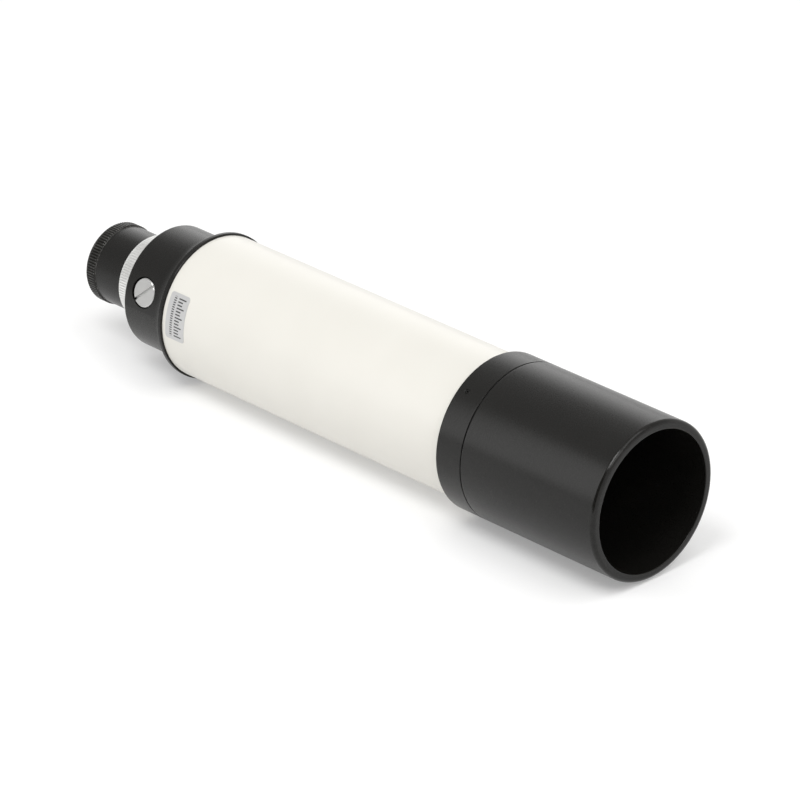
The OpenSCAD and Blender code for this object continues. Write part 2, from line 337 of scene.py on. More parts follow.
class Finish:
    """A material under construction. Sockets are named with underscores for spaces, or _0, _1 by number."""

    def __init__(self, name, **sockets):
        self.material = bpy.data.materials.new(name)
        self.material.use_nodes = True
        self.tree = self.material.node_tree
        self.shader = self.tree.nodes["Principled BSDF"]
        self.fill(self.shader, sockets)

    def fill(self, node, sockets):
        for key, value in sockets.items():
            socket = node.inputs[int(key[1:]) if key.startswith("_") else key.replace("_", " ")]
            if isinstance(value, bpy.types.NodeSocket):
                self.tree.links.new(value, socket)
            else:
                socket.default_value = value

    def node(self, kind, out=0, settings=(), **sockets):
        made = self.tree.nodes.new("ShaderNode" + kind)
        for key, value in dict(settings).items():
            setattr(made, key, value)
        self.fill(made, sockets)
        return made.outputs[out]

    def math(self, operation, *values):
        numbered = {f"_{i}": value for i, value in enumerate(values)}
        return self.node("Math", settings={"operation": operation}, **numbered)

    def vector(self, operation, *values, out=0):
        numbered = {f"_{i}": value for i, value in enumerate(values)}
        return self.node("VectorMath", out=out, settings={"operation": operation}, **numbered)

    def position(self):
        return self.node("TexCoord", out="Object")

    def noise(self, vector, size_mm, detail=2.0, roughness=0.5):
        scale = 1 / (size_mm * MM)
        return self.node("TexNoise", Vector=vector, Scale=scale, Detail=detail, Roughness=roughness)

    def ramp(self, value, low, high, to_low=0.0, to_high=1.0):
        return self.node("MapRange", Value=value, From_Min=low, From_Max=high,
                         To_Min=to_low, To_Max=to_high)

    def spread(self, noise, to_low=0.0, to_high=1.0):
        """Stretches a noise, which seldom leaves 0.3 to 0.7, between two values."""
        return self.ramp(noise, 0.3, 0.7, to_low, to_high)

    def blend(self, factor, first, second):
        return self.node("Mix", out=2, settings={"data_type": "RGBA"}, Factor=factor, _6=first, _7=second)

    def about(self, point, axis):
        """Distance along an axis, distance from it and the unit vector away from it."""
        offset = self.vector("SUBTRACT", self.position(), point)
        along = self.vector("DOT_PRODUCT", offset, axis, out="Value")
        on_axis = self.vector("SCALE", axis)
        self.tree.links.new(along, on_axis.node.inputs["Scale"])
        away = self.vector("SUBTRACT", offset, on_axis)
        return along, self.vector("LENGTH", away, out="Value"), self.vector("NORMALIZE", away)

    def tool_marks(self, pitch_mm, point=(0, 0, 0), axis=(1, 0, 0), sweep=3.0):
        """Fine lines left by turning: they vary quickly along and across the axis and slowly round it."""
        along, radius, away = self.about(point, axis)
        scale = 1 / (pitch_mm * MM)
        lines = self.node("CombineXYZ", X=self.math("MULTIPLY", along, scale),
                          Y=self.math("MULTIPLY", radius, scale))
        slow = self.vector("SCALE", away)
        slow.node.inputs["Scale"].default_value = sweep
        share = (0.15, 0.15, 1.0)
        where = self.vector("ADD", lines, self.vector("MULTIPLY", slow, share))
        return self.node("TexNoise", Vector=where, Scale=1.0, Detail=3.0, Roughness=0.6)

    def bump(self, height, depth_mm, normal=None):
        sockets = {"Height": height, "Distance": depth_mm * MM}
        if normal is not None:
            sockets["Normal"] = normal
        return self.node("Bump", **sockets)

    def on_edge(self):
        """One on bevelled edges and nought elsewhere, from the mesh."""
        return self.node("Attribute", out="Fac", settings={"attribute_name": "wear"})

    def edge_wear_and_highlight(self, amount):
        """Where handling has rubbed the bevelled edges, broken up by noise. Where the rubbed colour is set
        light, as on the cap's ribs, this mask also places a painted highlight.
        """
        patches = self.ramp(self.noise(self.position(), 1.6, detail=6.0, roughness=0.7), 0.42, 0.68)
        return self.math("MULTIPLY", self.math("MULTIPLY", self.on_edge(), patches), amount)

    def done(self, **sockets):
        self.fill(self.shader, sockets)
        return self.material


def grey(value):
    return (value, value, value, 1.0)


def black_anodised(name="black_anodised", base=0.0052, rough=0.29, wear=0.1, worn_and_highlight=0.06, boundary=None):
    """Satin black anodising over a bead-blasted grain, with a slightly rubbed edge here and there.

    The brightness of rubbed metal follows the wear amount; where it is set light, as on the cap's ribs, it
    also serves as a painted highlight. boundary may change the colour and the roughness."""
    deep = (base * 1.05, base, base * 0.88, 1)
    faded = (base * 1.5, base * 1.42, base * 1.25, 1)
    bare_and_highlight = (worn_and_highlight, worn_and_highlight * 0.98, worn_and_highlight * 0.94, 1)
    edge_polish = 0.15
    finish = Finish(name, IOR=1.34)
    where = finish.position()
    grain = finish.noise(where, 0.40, detail=3.0, roughness=0.65)
    cloud = finish.noise(where, 9.0, detail=3.0)
    marks = finish.tool_marks(0.25)
    tone = finish.math("ADD", finish.spread(cloud, 0.0, 0.4),
                       finish.ramp(grain, 0.35, 0.65, 0.0, 0.6))
    colour = finish.blend(tone, deep, faded)
    # rubbed edges; where the rubbed colour is light, as on the cap's ribs, this is also a painted highlight
    rubbed = finish.edge_wear_and_highlight(wear)
    colour = finish.blend(rubbed, colour, bare_and_highlight)
    roughness = finish.math("ADD", finish.spread(grain, rough - 0.03, rough + 0.03),
                            finish.spread(marks, -0.006, 0.006))
    roughness = finish.math("SUBTRACT", roughness, finish.math("MULTIPLY", finish.on_edge(), edge_polish))
    if boundary is not None:
        colour, roughness = boundary(finish, colour, roughness)
    normal = finish.bump(marks, 0.0004, finish.bump(grain, 0.018))
    return finish.done(Base_Color=colour, Roughness=roughness, Normal=normal)


def matte_black():
    """Flat optical black inside the finder, on fine glare-stopping ridges."""
    finish = Finish("matte_black", Specular_IOR_Level=0.25)
    where = finish.position()
    fibres = finish.noise(where, 0.22, detail=4.0, roughness=0.7)
    colour = finish.blend(finish.ramp(fibres, 0.35, 0.7), grey(0.0030), grey(0.0062))
    ridges = finish.tool_marks(0.35, sweep=0.6)
    normal = finish.bump(ridges, 0.02, finish.bump(fibres, 0.012))
    return finish.done(Base_Color=colour, Roughness=finish.spread(fibres, 0.84, 0.95), Normal=normal)


def white_paint():
    """Warm white stoved enamel, with the faint orange peel of sprayed paint and a few specks of dust."""
    duller = (0.666, 0.651, 0.604, 1)
    brighter = (0.684, 0.669, 0.622, 1)
    dust = (0.55, 0.53, 0.48, 1)
    finish = Finish("white_enamel", IOR=1.45)
    where = finish.position()
    peel = finish.noise(where, 1.5, detail=2.0, roughness=0.4)
    fine = finish.noise(where, 0.35, detail=3.0)
    tint = finish.noise(where, 30.0, detail=2.0)
    colour = finish.blend(finish.spread(tint), duller, brighter)
    specks = finish.ramp(finish.noise(where, 0.5, detail=0.0), 0.80, 0.84)
    colour = finish.blend(finish.math("MULTIPLY", specks, 0.12), colour, dust)
    normal = finish.bump(peel, 0.006, finish.bump(fine, 0.0010))
    return finish.done(Base_Color=colour, Roughness=finish.spread(fine, 0.30, 0.36), Normal=normal)


def bright_metal(name, point=(0, 0, 0), axis=(1, 0, 0), base=0.86):
    """Turned bright aluminium: fine tool marks about an axis through a point, and a light satin bloom."""
    dull = (base * 0.95, base * 0.95, base * 0.94, 1)
    clear = (base, base, base * 0.985, 1)
    rough = 0.33
    finish = Finish(name, Metallic=1.0)
    where = finish.position()
    marks = finish.tool_marks(0.25, point, axis, sweep=2.0)
    bloom = finish.noise(where, 2.2, detail=4.0)
    colour = finish.blend(finish.spread(bloom), dull, clear)
    lines = finish.ramp(marks, 0.35, 0.65, -0.02, 0.02)
    roughness = finish.math("ADD", finish.spread(bloom, rough - 0.03, rough + 0.04), lines)
    return finish.done(Base_Color=colour, Roughness=roughness, Normal=finish.bump(marks, 0.0010))


def label_foil():
    """Grey foil label printed with plain graduation strokes and a row of dots."""
    half_length = 8.0
    stroke_half_pitch, stroke_half_width, long_stroke_reach = 0.62, 0.26, 0.4
    long_from, short_from, strokes_to = 1.5, 2.9, 5.5
    dot_half_pitch, dot_half_width, dots_from, dots_to = 0.45, 0.22, 6.6, 7.9
    open_below = -1.0
    finish = Finish("label_foil", Metallic=0.25)
    where = finish.position()
    x, y, z = (finish.node("SeparateXYZ", out=n, Vector=where) for n in range(3))
    # v runs along the tube from the label's front edge, u runs round it from the middle, both in mm
    v = finish.math("MULTIPLY", finish.math("SUBTRACT", RIM_X - LABEL_FRONT * MM, x), 1 / MM)
    angle = finish.math("ARCTAN2", finish.math("MULTIPLY", y, -1.0), z)
    u = finish.math("MULTIPLY", finish.math("SUBTRACT", angle, math.radians(LABEL_ANGLE)), TUBE_R)

    def inside(value, low, high):
        soft = 0.05
        above = finish.ramp(value, low - soft, low + soft)
        return finish.math("MULTIPLY", above, finish.ramp(value, high - soft, high + soft, 1.0, 0.0))

    across = inside(u, -half_length, half_length)
    strokes = inside(finish.math("PINGPONG", u, stroke_half_pitch), open_below, stroke_half_width)
    # every third stroke is a long one
    third = finish.math("PINGPONG", u, 3 * stroke_half_pitch)
    tall = inside(v, long_from, strokes_to)
    tall = finish.math("MULTIPLY", tall, inside(third, open_below, long_stroke_reach))
    tall = finish.math("MAXIMUM", tall, inside(v, short_from, strokes_to))
    dots = inside(finish.math("PINGPONG", u, dot_half_pitch), open_below, dot_half_width)
    dots = finish.math("MULTIPLY", dots, inside(v, dots_from, dots_to))
    graduation = finish.math("MULTIPLY", strokes, tall)
    print_mask = finish.math("MULTIPLY", across, finish.math("MAXIMUM", graduation, dots))
    grain = finish.noise(where, 0.25, detail=4.0)
    foil = finish.blend(finish.spread(grain), grey(0.47), grey(0.52))
    ink = grey(0.022)
    ink_patch = finish.ramp(finish.noise(where, 0.3, detail=4.0), 0.3, 0.5, 0.85, 1.0)
    colour = finish.blend(finish.math("MULTIPLY", print_mask, ink_patch), foil, ink)
    normal = finish.bump(print_mask, 0.004, finish.bump(grain, 0.0015))
    return finish.done(Base_Color=colour, Roughness=finish.spread(grain, 0.34, 0.44), Normal=normal)


def coated_glass(name="coated_glass"):
    """Optical glass with a single-layer coating and a trace of dust."""
    finish = Finish(
        name, Base_Color=(0.97, 0.99, 0.98, 1), IOR=1.52, Transmission_Weight=1.0,
        Thin_Film_Thickness=115.0, Thin_Film_IOR=1.38,
    )
    dust = finish.noise(finish.position(), 0.6, detail=6.0, roughness=0.7)
    return finish.done(Roughness=finish.ramp(dust, 0.62, 0.80, 0.0, 0.12))


def seal_rubber():
    """Matte black rubber."""
    finish = Finish("seal_rubber", Specular_IOR_Level=0.35)
    grain = finish.noise(finish.position(), 0.12, detail=4.0)
    colour = finish.blend(finish.spread(grain), grey(0.010), grey(0.018))
    return finish.done(Base_Color=colour, Roughness=finish.spread(grain, 0.62, 0.78),
                       Normal=finish.bump(grain, 0.01))


def housing_boundary(finish, colour, roughness):
    """On the port's side, the housing behind the neck is coloured a shade lighter below a straight edge
    level with the axis, fading out towards the bottom.
    """
    sharp_edge = [math.radians(degrees) for degrees in (-90.2, -89.6)]
    soft_edge = [math.radians(degrees) for degrees in (-160, -130)]
    neck_edge = [RIM_X - (NECK_END + side * 0.3) * MM for side in (1, -1)]
    lighter = (0.030, 0.030, 0.028, 1)
    x, y, z = (finish.node("SeparateXYZ", out=n, Vector=finish.position()) for n in range(3))
    angle = finish.math("ARCTAN2", y, z)
    below = finish.math("MULTIPLY", finish.ramp(angle, *sharp_edge, 1.0, 0.0),
                        finish.ramp(angle, *soft_edge, 0.0, 1.0))
    housing = finish.ramp(x, *neck_edge, 1.0, 0.0)
    share = finish.math("MULTIPLY", below, housing)
    colour = finish.blend(finish.math("MULTIPLY", share, 0.4), colour, lighter)
    return colour, roughness


MATTE = matte_black()
BLACK = black_anodised()
HOUSING_BLACK = black_anodised("housing_anodised", rough=0.27, boundary=housing_boundary)
EYEPIECE_BLACK = black_anodised("eyepiece_anodised", rough=0.27)
# The cap's ribs get a light grey on their crests and front ends, partly handling wear and partly a painted
# highlight
KNURL_BLACK = black_anodised("knurl_anodised", base=0.009, rough=0.33, wear=1.0, worn_and_highlight=0.26)
ENAMEL = white_paint()
SILVER = bright_metal("turned_aluminium")
GLASS = coated_glass()


# ---- Front end ----

def make_dew_shield():
    thread_bore = CELL_NOSE_R + 2 * FIT
    inner_end = CELL_NOSE - FACE_GAP
    seam = SEAM - SEAM_GAP / 2
    blackened_from = 0.35
    thread = (SEAM - 0.4, inner_end + 0.4, thread_bore)
    outline = subdivided(rounded([
        (0, SHIELD_BORE_R, 0.3), (0, SHIELD_R, 1.6), (seam, SHIELD_R, 0.28), (seam, thread_bore + 0.25),
        (SEAM - 0.3, thread_bore),
    ]) + thread_wall(*thread) + [
        (inner_end, thread_bore, 0.0), (inner_end, SHIELD_BORE_R, 0.0),
    ])
    piece = lathe("dew_shield_turned", outline, shape=threaded(*thread, -THREAD_DEPTH),
                  surface=lambda at, r: 1 if r < SHIELD_BORE_R + FIT and at > blackened_from else 0)
    place(piece, "shield", "black_anodised", ["dew_shield"], BLACK, MATTE)


def make_objective_cell():
    skirt_r = TUBE_R + FIT
    inner_r = TUBE_BORE_R - FIT
    lens_bore_r = LENS_R + FIT
    tube_front = TUBE_FRONT - FACE_GAP
    seam = SEAM + SEAM_GAP / 2
    thread = (CELL_NOSE + 0.5, SEAM - 0.5, CELL_NOSE_R)
    outline = subdivided(rounded([
        (CELL_NOSE, lens_bore_r), (CELL_NOSE, CELL_NOSE_R, 0.25), (CELL_NOSE + 0.4, CELL_NOSE_R),
    ]) + thread_wall(*thread) + rounded([
        (seam, CELL_NOSE_R), (seam, SHIELD_R, 0.12), (CELL_RING_END, SHIELD_R, 0.35),
        (CELL_RING_END, skirt_r, 0.1), (tube_front, skirt_r), (tube_front, inner_r),
        (CELL_END, inner_r, 0.15), (CELL_END, CLEAR_R, 0.15), (SEAT, CLEAR_R), (SEAT, lens_bore_r),
    ]), longest=1.5)
    piece = lathe("objective_cell_turned", outline, segments=360, shape=threaded(*thread, THREAD_DEPTH),
                  surface=lambda at, r: 1 if r < LENS_R + 2 * FIT else 0)
    # each hole widens in a 45 degree countersink that starts just under the surface
    low, sink_from, high = -1.0, 2.15, 5.0
    hole_r = CELL_SCREW_R + FIT
    hole = [(low, 0, 0), (low, hole_r, 0), (sink_from, hole_r, 0),
            (high, hole_r + high - sink_from, 0), (high, 0, 0)]
    tools = [lathe(f"screw_hole_{i}", hole, around_matrix(CELL_SCREW_AT, angle, TUBE_R), segments=40)
             for i, angle in enumerate(CELL_SCREW_ANGLES)]
    cut(piece, *tools)
    place(piece, "tube", "black_anodised", ["objective_cell"], BLACK, MATTE)


def make_cell_screws():
    """Set screws with a hexagon socket, sunk in the cell's ring. All three are one piece."""
    sunk, bevel, point_r = 0.22, 0.12, 0.55
    length = SHIELD_R - TUBE_R - sunk
    vertices, faces, wears = [], [], []
    rings = [(0.0, point_r), (0.25, 0.85), (0.45, CELL_SCREW_R),
             (length - bevel, CELL_SCREW_R), (length, CELL_SCREW_R - bevel)]
    sides = 48
    socket_r, socket_depth = 0.45, 0.5
    rubbed_from = length - 0.2

    def hexagon(turn):
        """The socket's radius at a turn."""
        return socket_r * math.cos(math.pi / 6) / math.cos((turn % (math.pi / 3)) - math.pi / 6)

    for angle in CELL_SCREW_ANGLES:
        matrix = around_matrix(CELL_SCREW_AT, angle, TUBE_R + FIT)
        loops = [[(height, radius) for _ in range(sides)] for height, radius in rings]
        turns = [2 * math.pi * k / sides for k in range(sides)]
        loops.append([(length, hexagon(turn)) for turn in turns])
        loops.append([(length - socket_depth, hexagon(turn)) for turn in turns])
        base = len(vertices)
        for loop in loops:
            for turn, (height, radius) in zip(turns, loop):
                vertices.append(matrix @ Vector((
                    radius * math.cos(turn) * MM, radius * math.sin(turn) * MM, height * MM)))
                wears.append(1.0 if height > rubbed_from else 0.0)
        for n in range(len(loops) - 1):
            for k in range(sides):
                low, high = base + n * sides, base + (n + 1) * sides
                faces.append([low + k, low + (k + 1) % sides, high + (k + 1) % sides, high + k])
        faces.append([base + k for k in range(sides)])
        faces.append([base + (len(loops) - 1) * sides + k for k in range(sides)])
    piece = new_piece("cell_screw_set", vertices, faces, wears)
    place(piece, "tube", "black_anodised", ["cell_screws"], BLACK)


def notched_ring(name, front, end, outer, inner, notch):
    """A retaining ring with two spanner notches in the face named by notch: its distance and its depth."""
    outline = subdivided(rounded([
        (front, outer, 0.12), (end, outer, 0.12), (end, inner, 0.12), (front, inner, 0.12),
    ], steps=3), longest=1.0, near=0.2)
    piece = lathe(name, outline)
    at, depth = notch
    half_width = 0.6
    tools = []
    for side in (-1, 1):
        matrix = axis_matrix() @ Matrix.Translation((0, side * outer * MM, at * MM))
        reach = outer - inner + half_width
        tools.append(box_tool(f"notch_tool_{side}", matrix, (-half_width, -reach, -depth),
                              (half_width, reach, depth)))
    cut(piece, *tools)
    return piece


def make_objective():
    front_curve, joined_curve, rear_curve = 105, -75, -330
    crown_rear = CROWN_FRONT + 8.8
    flint_front = crown_rear + CEMENT
    flint_rear = behind(rear_of("objective_flint"))
    crown = lathe("objective_crown_glass", arc_of(front_curve, CROWN_FRONT, LENS_R)
                  + arc_of(joined_curve, crown_rear, LENS_R)[::-1], segments=160)
    flint = lathe("objective_flint_glass", arc_of(joined_curve, flint_front, LENS_R)
                  + arc_of(rear_curve, flint_rear, LENS_R)[::-1], segments=160)
    ring_end = CROWN_FRONT + front_curve - math.sqrt(front_curve ** 2 - CLEAR_R ** 2) - FIT
    ring_front = CELL_NOSE + 0.3
    ring = notched_ring("objective_retainer", ring_front, ring_end, LENS_R, CLEAR_R, (ring_front, 0.8))
    place(crown, "tube", "coated_glass", ["objective_crown"], GLASS)
    place(flint, "tube", "coated_glass", ["objective_flint"], GLASS)
    place(ring, "tube", "black_anodised", ["objective_ring"], BLACK)


# ---- Tube and label ----

def make_main_tube():
    outline = subdivided(rounded([
        (TUBE_FRONT, TUBE_BORE_R, 0.2), (TUBE_FRONT, TUBE_R, 0.25),
        (TUBE_END, TUBE_R, 0.25), (TUBE_END, TUBE_BORE_R, 0.2),
    ]), longest=4.0)
    painted_from = TUBE_R - 0.3
    piece = lathe("tube_enamelled", outline, segments=360,
                  surface=lambda at, r: 0 if r > painted_from else 1)
    place(piece, "tube", "white_paint", ["main_tube"], ENAMEL, MATTE)


def make_label():
    """A thin plate with round corners, bent round the tube, with a slightly sloping edge."""
    corner, rows, columns = 1.2, 24, 44
    half_v = (LABEL_END - LABEL_FRONT) / 2
    half_u = LABEL_LEN / 2
    low, high = TUBE_R + 0.02, TUBE_R + 0.17

    def reach(v):
        """Half length of the label at a place v from its middle, shortened in the corners."""
        into = abs(v) - (half_v - corner)
        return half_u if into <= 0 else half_u - corner + math.sqrt(max(0, corner ** 2 - into ** 2))

    vs = [half_v * math.sin(math.pi / 2 * (2 * k / rows - 1)) for k in range(rows + 1)]
    vertices = []
    for radius, inset in ((high, 0.05), (low, 0.0)):
        for v in vs:
            for k in range(columns + 1):
                u = (2 * k / columns - 1) * (reach(v) - inset)
                lean = math.radians(LABEL_ANGLE) + u / TUBE_R
                at = (LABEL_FRONT + LABEL_END) / 2 + v * (1 - inset / half_v)
                y, z = -radius * math.sin(lean), radius * math.cos(lean)
                vertices.append((RIM_X - at * MM, y * MM, z * MM))
    width = columns + 1
    layer = width * (rows + 1)
    faces = []
    for base in (0, layer):
        for j in range(rows):
            for k in range(columns):
                a = base + j * width + k
                faces.append([a, a + 1, a + width + 1, a + width])
    border = list(range(width))
    border += [j * width + columns for j in range(1, rows + 1)]
    border += [rows * width + k for k in range(columns - 1, -1, -1)]
    border += [j * width for j in range(rows - 1, 0, -1)]
    for n, a in enumerate(border):
        b = border[(n + 1) % len(border)]
        faces.append([a, b, b + layer, a + layer])
    piece = new_piece("label_plate", vertices, faces)
    place(piece, "tube", "label_foil", ["name_label"], label_foil())


# ---- Rear housing and port ----

PORT_MATRIX = around_matrix(PORT_AT, PORT_ANGLE)


def make_rear_housing():
    spigot_r = TUBE_BORE_R - FIT
    spigot_bore_r = spigot_r - 2.2
    stop_r = spigot_r - 5
    boss_r = THREAD_R + 1.4
    bore_r = THREAD_R + FIT
    reticle_r = 17.0
    reticle_front = TUBE_END + 7
    flare_r, flare_fillet = HOUSING_R + 1.3, 12
    thread = (BOSS_END - 0.3, RETICLE_SEAT + 0.3, bore_r)

    def inside(at, r):
        """The blackened inside: the eyepiece's thread and, in front of it, the reticle's room."""
        return 1 if r < bore_r + 2 * FIT or r < reticle_r + 2 * FIT and at < RETICLE_SEAT else 0

    outline = subdivided(rounded([
        (HOUSING_FRONT, spigot_bore_r), (HOUSING_FRONT, spigot_r, 0.2), (TUBE_END, spigot_r),
        (TUBE_END, FLANGE_R, 0.3), (FLANGE_END, FLANGE_R, 0.35), (FLANGE_END, flare_r, 0.3),
        (NECK_END, HOUSING_R, flare_fillet), (HOUSING_END, HOUSING_R, 0.4), (HOUSING_END, boss_r, 0.2),
        (BOSS_END, boss_r, 0.25), (BOSS_END, bore_r + 0.2),
    ]) + thread_wall(*thread) + rounded([
        (RETICLE_SEAT, bore_r), (RETICLE_SEAT, reticle_r), (reticle_front, reticle_r),
        (reticle_front, stop_r), (TUBE_END + 1, spigot_bore_r),
    ]), longest=1.2)
    piece = lathe("rear_housing_turned", outline, segments=360, shape=threaded(*thread, -THREAD_DEPTH),
                  surface=inside)

    def drill(name, depth, radius, segments):
        """A cylinder for cutting, from well outside down to a height above the finder's axis."""
        outside = 40
        return lathe(name, [(depth, 0, 0), (depth, radius, 0), (outside, radius, 0), (outside, 0, 0)],
                     PORT_MATRIX, segments=segments)

    cut(piece, drill("port_seat_tool", PORT_FLOOR, PORT_R, 120),
        drill("port_hole_tool", 10, PLUG_THREAD_R + FIT, 96))
    place(piece, "tube", "black_anodised", ["rear_housing"], HOUSING_BLACK, MATTE)


def make_port_plug():
    """Coin-slotted plug with a bevelled head and an 8 mm thread."""
    face = HOUSING_R - 0.4
    head, thread_len, bevel = 1.85, 4.7, 0.35
    neck, tip = face - head, face - head - thread_len
    undercut_r = PLUG_THREAD_R - 0.25
    thread = (neck - 0.5, tip + 0.3, PLUG_THREAD_R)
    outline = subdivided([(face, 0.0, 0.0)] + rounded([
        (face, 0.5), (face, PLUG_R - bevel, 0.08), (face - bevel, PLUG_R, 0.08), (neck, PLUG_R, 0.1),
        (neck, undercut_r), (neck - 0.45, undercut_r),
    ]) + thread_wall(*thread)
        + [(tip, PLUG_THREAD_R - 0.3, 0.0), (tip, 0.0, 0.0)], longest=0.7, near=0.15)
    # the closing stretch runs along the axis, where only its two ends are wanted
    outline = [p for p in outline if p[1] > 0 or p[0] in (face, tip)]
    piece = lathe("port_plug_turned", outline, PORT_MATRIX, segments=144, shape=threaded(*thread, 0.3))
    slot_half, slot_depth, beyond = 0.55, 1.1, 9
    turn = Matrix.Rotation(math.radians(PLUG_SLOT_ANGLE), 4, "Z")
    tool = box_tool("slot_tool", PORT_MATRIX @ turn, (-beyond, -slot_half, face - slot_depth),
                    (beyond, slot_half, face + 2))
    cut(piece, tool)
    outward = PORT_MATRIX.to_3x3() @ Vector((0, 0, 1))
    metal = bright_metal("plug_aluminium", tuple(PORT_MATRIX.translation), tuple(outward), base=0.60)
    place(piece, "port_plug", "bright_aluminium", ["port_plug"], metal)


def make_port_washer():
    bottom = PORT_FLOOR + 0.05
    top = PORT_FLOOR + 0.70
    inner = PLUG_THREAD_R + FIT
    outer = PLUG_R - 0.3
    piece = lathe("port_washer_moulded", rounded([
        (bottom, inner, 0.15), (bottom, outer, 0.2), (top, outer, 0.2), (top, inner, 0.15),
    ]), PORT_MATRIX, segments=96)
    place(piece, "port_seal", "seal_rubber", ["port_washer"], seal_rubber())


# ---- Eyepiece ----

def make_lock_ring():
    recess_r = BARREL_R + 3 * FIT
    bore_r = THREAD_R + FIT
    recess_at = LOCK_END - 4.2
    bevel_r, bevel_len = LOCK_R - 0.35, 0.55
    outline = subdivided(rounded([
        (LOCK_FRONT, bore_r, 0.2), (LOCK_FRONT, bevel_r, 0.1), (LOCK_FRONT + bevel_len, LOCK_R, 0.1),
        (LOCK_END - bevel_len, LOCK_R, 0.1), (LOCK_END, bevel_r, 0.1), (LOCK_END, recess_r, 0.15),
        (recess_at, recess_r), (recess_at, bore_r),
    ], steps=3), longest=1.0, near=0.2)
    piece = lathe("lock_ring_serrated", outline, segments=10 * LOCK_TEETH,
                  shape=ribbed(LOCK_TEETH, LOCK_R, LOCK_R - 0.30, 0.52))
    place(piece, "lock_ring", "bright_aluminium", ["lock_ring"], SILVER)


def make_eyepiece_barrel():
    lip_r = 11.4
    lens_front = behind(front_of("lens_tube")) - FACE_GAP
    thread = (BARREL_FRONT + 0.5, BARREL_STEP - 0.4, THREAD_R)
    outline = subdivided(rounded([
        (BARREL_FRONT, lip_r, 0.15), (BARREL_FRONT, THREAD_R, 0.3), (BARREL_FRONT + 0.4, THREAD_R),
    ]) + thread_wall(*thread) + rounded([
        (BARREL_STEP, THREAD_R), (BARREL_STEP, BARREL_R, 0.2), (BARREL_END, BARREL_R),
        (BARREL_END, BARREL_BORE_R), (lens_front, BARREL_BORE_R), (lens_front, lip_r),
    ]), longest=2.0)
    piece = lathe("eyepiece_barrel_turned", outline, shape=threaded(*thread, THREAD_DEPTH),
                  surface=lambda at, r: 1 if r < BARREL_BORE_R + 2 * FIT else 0)
    place(piece, "eyepiece", "black_anodised", ["eyepiece_barrel"], EYEPIECE_BLACK, MATTE)


def make_eyepiece_cap():
    spigot_r = BARREL_BORE_R - FIT
    eye_r = 8.4
    rim_r = CAP_R - 0.4
    spigot_front = EYE_LENS_END + FACE_GAP
    ribs_end = CAP_END - 0.9
    ribs = ribbed(CAP_TEETH, CAP_R, rim_r, 0.46)
    crest_wear_and_highlight, eye_end_share = 0.18, 0.25
    outline = subdivided(rounded([
        (spigot_front, eye_r, 0.1), (spigot_front, spigot_r, 0.15), (BARREL_END, spigot_r),
        (BARREL_END, CAP_R - 0.5, 0.08), (BARREL_END + 0.5, CAP_R, 0.08),
        (CAP_END - 0.85, CAP_R, 0.1), (CAP_END - 0.5, rim_r, 0.08), (CAP_END, rim_r, 0.3),
        (CAP_END, eye_r + 3.0, 0.35), (BARREL_END, eye_r, 0.8),
    ], steps=4), longest=0.8, near=0.15)

    def wear_and_highlight(at, r, wear):
        """The crests are rubbed all along and their front ends most, the eye end hardly at all. The light
        rubbed grey there is also a painted highlight on the crests and the ribs' front ends.
        """
        if at > ribs_end:
            return wear * eye_end_share
        return max(wear, crest_wear_and_highlight) if r > CAP_R - 0.05 else wear

    outline = [(at, r, wear_and_highlight(at, r, wear)) for at, r, wear in outline]
    piece = lathe("eyepiece_cap_knurled", outline, segments=10 * CAP_TEETH,
                  shape=lambda at, r, turn: ribs(at, r, turn) if r > rim_r + 0.01 else r)
    place(piece, "eyepiece", "black_anodised", ["eyepiece_cap"], KNURL_BLACK)


def make_eye_lens():
    flint_rear = behind(rear_of("eye_lens_flint"))
    r = 8.5
    front_curve, joined_curve = 18, -14
    # the cemented face curves back towards the eye at the middle
    joined = flint_rear - 1.88
    flint = lathe("eye_lens_flint_glass", arc_of(joined_curve, joined, r)
                  + [(flint_rear, r, 0.0), (flint_rear, 0.0, 0.0)], segments=GLASS_SEGMENTS)
    crown_front = behind(front_of("eye_lens_crown"))
    crown = lathe("eye_lens_crown_glass", arc_of(front_curve, crown_front, r)
                  + arc_of(joined_curve, joined - CEMENT, r)[::-1], segments=GLASS_SEGMENTS)
    ring = notched_ring("eye_lens_retainer", flint_rear + 0.05, EYE_LENS_END, r, 7.6, (EYE_LENS_END, 0.4))
    place(flint, "ocular", "coated_glass", ["eye_lens_flint"], GLASS)
    place(crown, "ocular", "coated_glass", ["eye_lens_crown"], GLASS)
    place(ring, "ocular", "black_anodised", ["eye_lens_ring"], BLACK)


def make_field_lens():
    front = behind(front_of("field_lens"))
    rear = behind(rear_of("field_lens"))
    r = 12.4
    flat, rear_curve = 0, -22
    lens = lathe("field_lens_glass", arc_of(flat, front, r) + arc_of(rear_curve, rear, r)[::-1],
                 segments=GLASS_SEGMENTS)
    place(lens, "ocular", "coated_glass", ["field_lens"], GLASS)


def finish_cad_nodes():
    """The inner pieces keep their CAD shape and get the finder's materials."""
    inner = ("front_baffle", "rear_baffle", "reticle_cell", "reticle_ring", "lens_tube", "field_lens_ring")
    for node in inner:
        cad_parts[node].data.materials.clear()
        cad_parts[node].data.materials.append(MATTE)
    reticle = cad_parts["reticle_glass"].data
    reticle.materials.clear()
    reticle.materials.append(coated_glass("reticle_glass"))


# ---- Studio ----

# The camera, fitted to the photo's outlines: degrees, metres, and millimetres for the lens
CAMERA_AZIMUTH = 46.11
CAMERA_ELEVATION = 25.74
CAMERA_DISTANCE = 1.861
CAMERA_TARGET = (0.0742, -0.0529, 0.0319)
CAMERA_LENS = 234.07

# How far the table reaches towards the camera and on the other sides, in metres
TABLE_FRONT = 0.36
TABLE_REACH = 8.0


def direction(azimuth, elevation):
    a, e = math.radians(azimuth), math.radians(elevation)
    return Vector((math.sin(a) * math.cos(e), -math.cos(a) * math.cos(e), math.sin(e)))


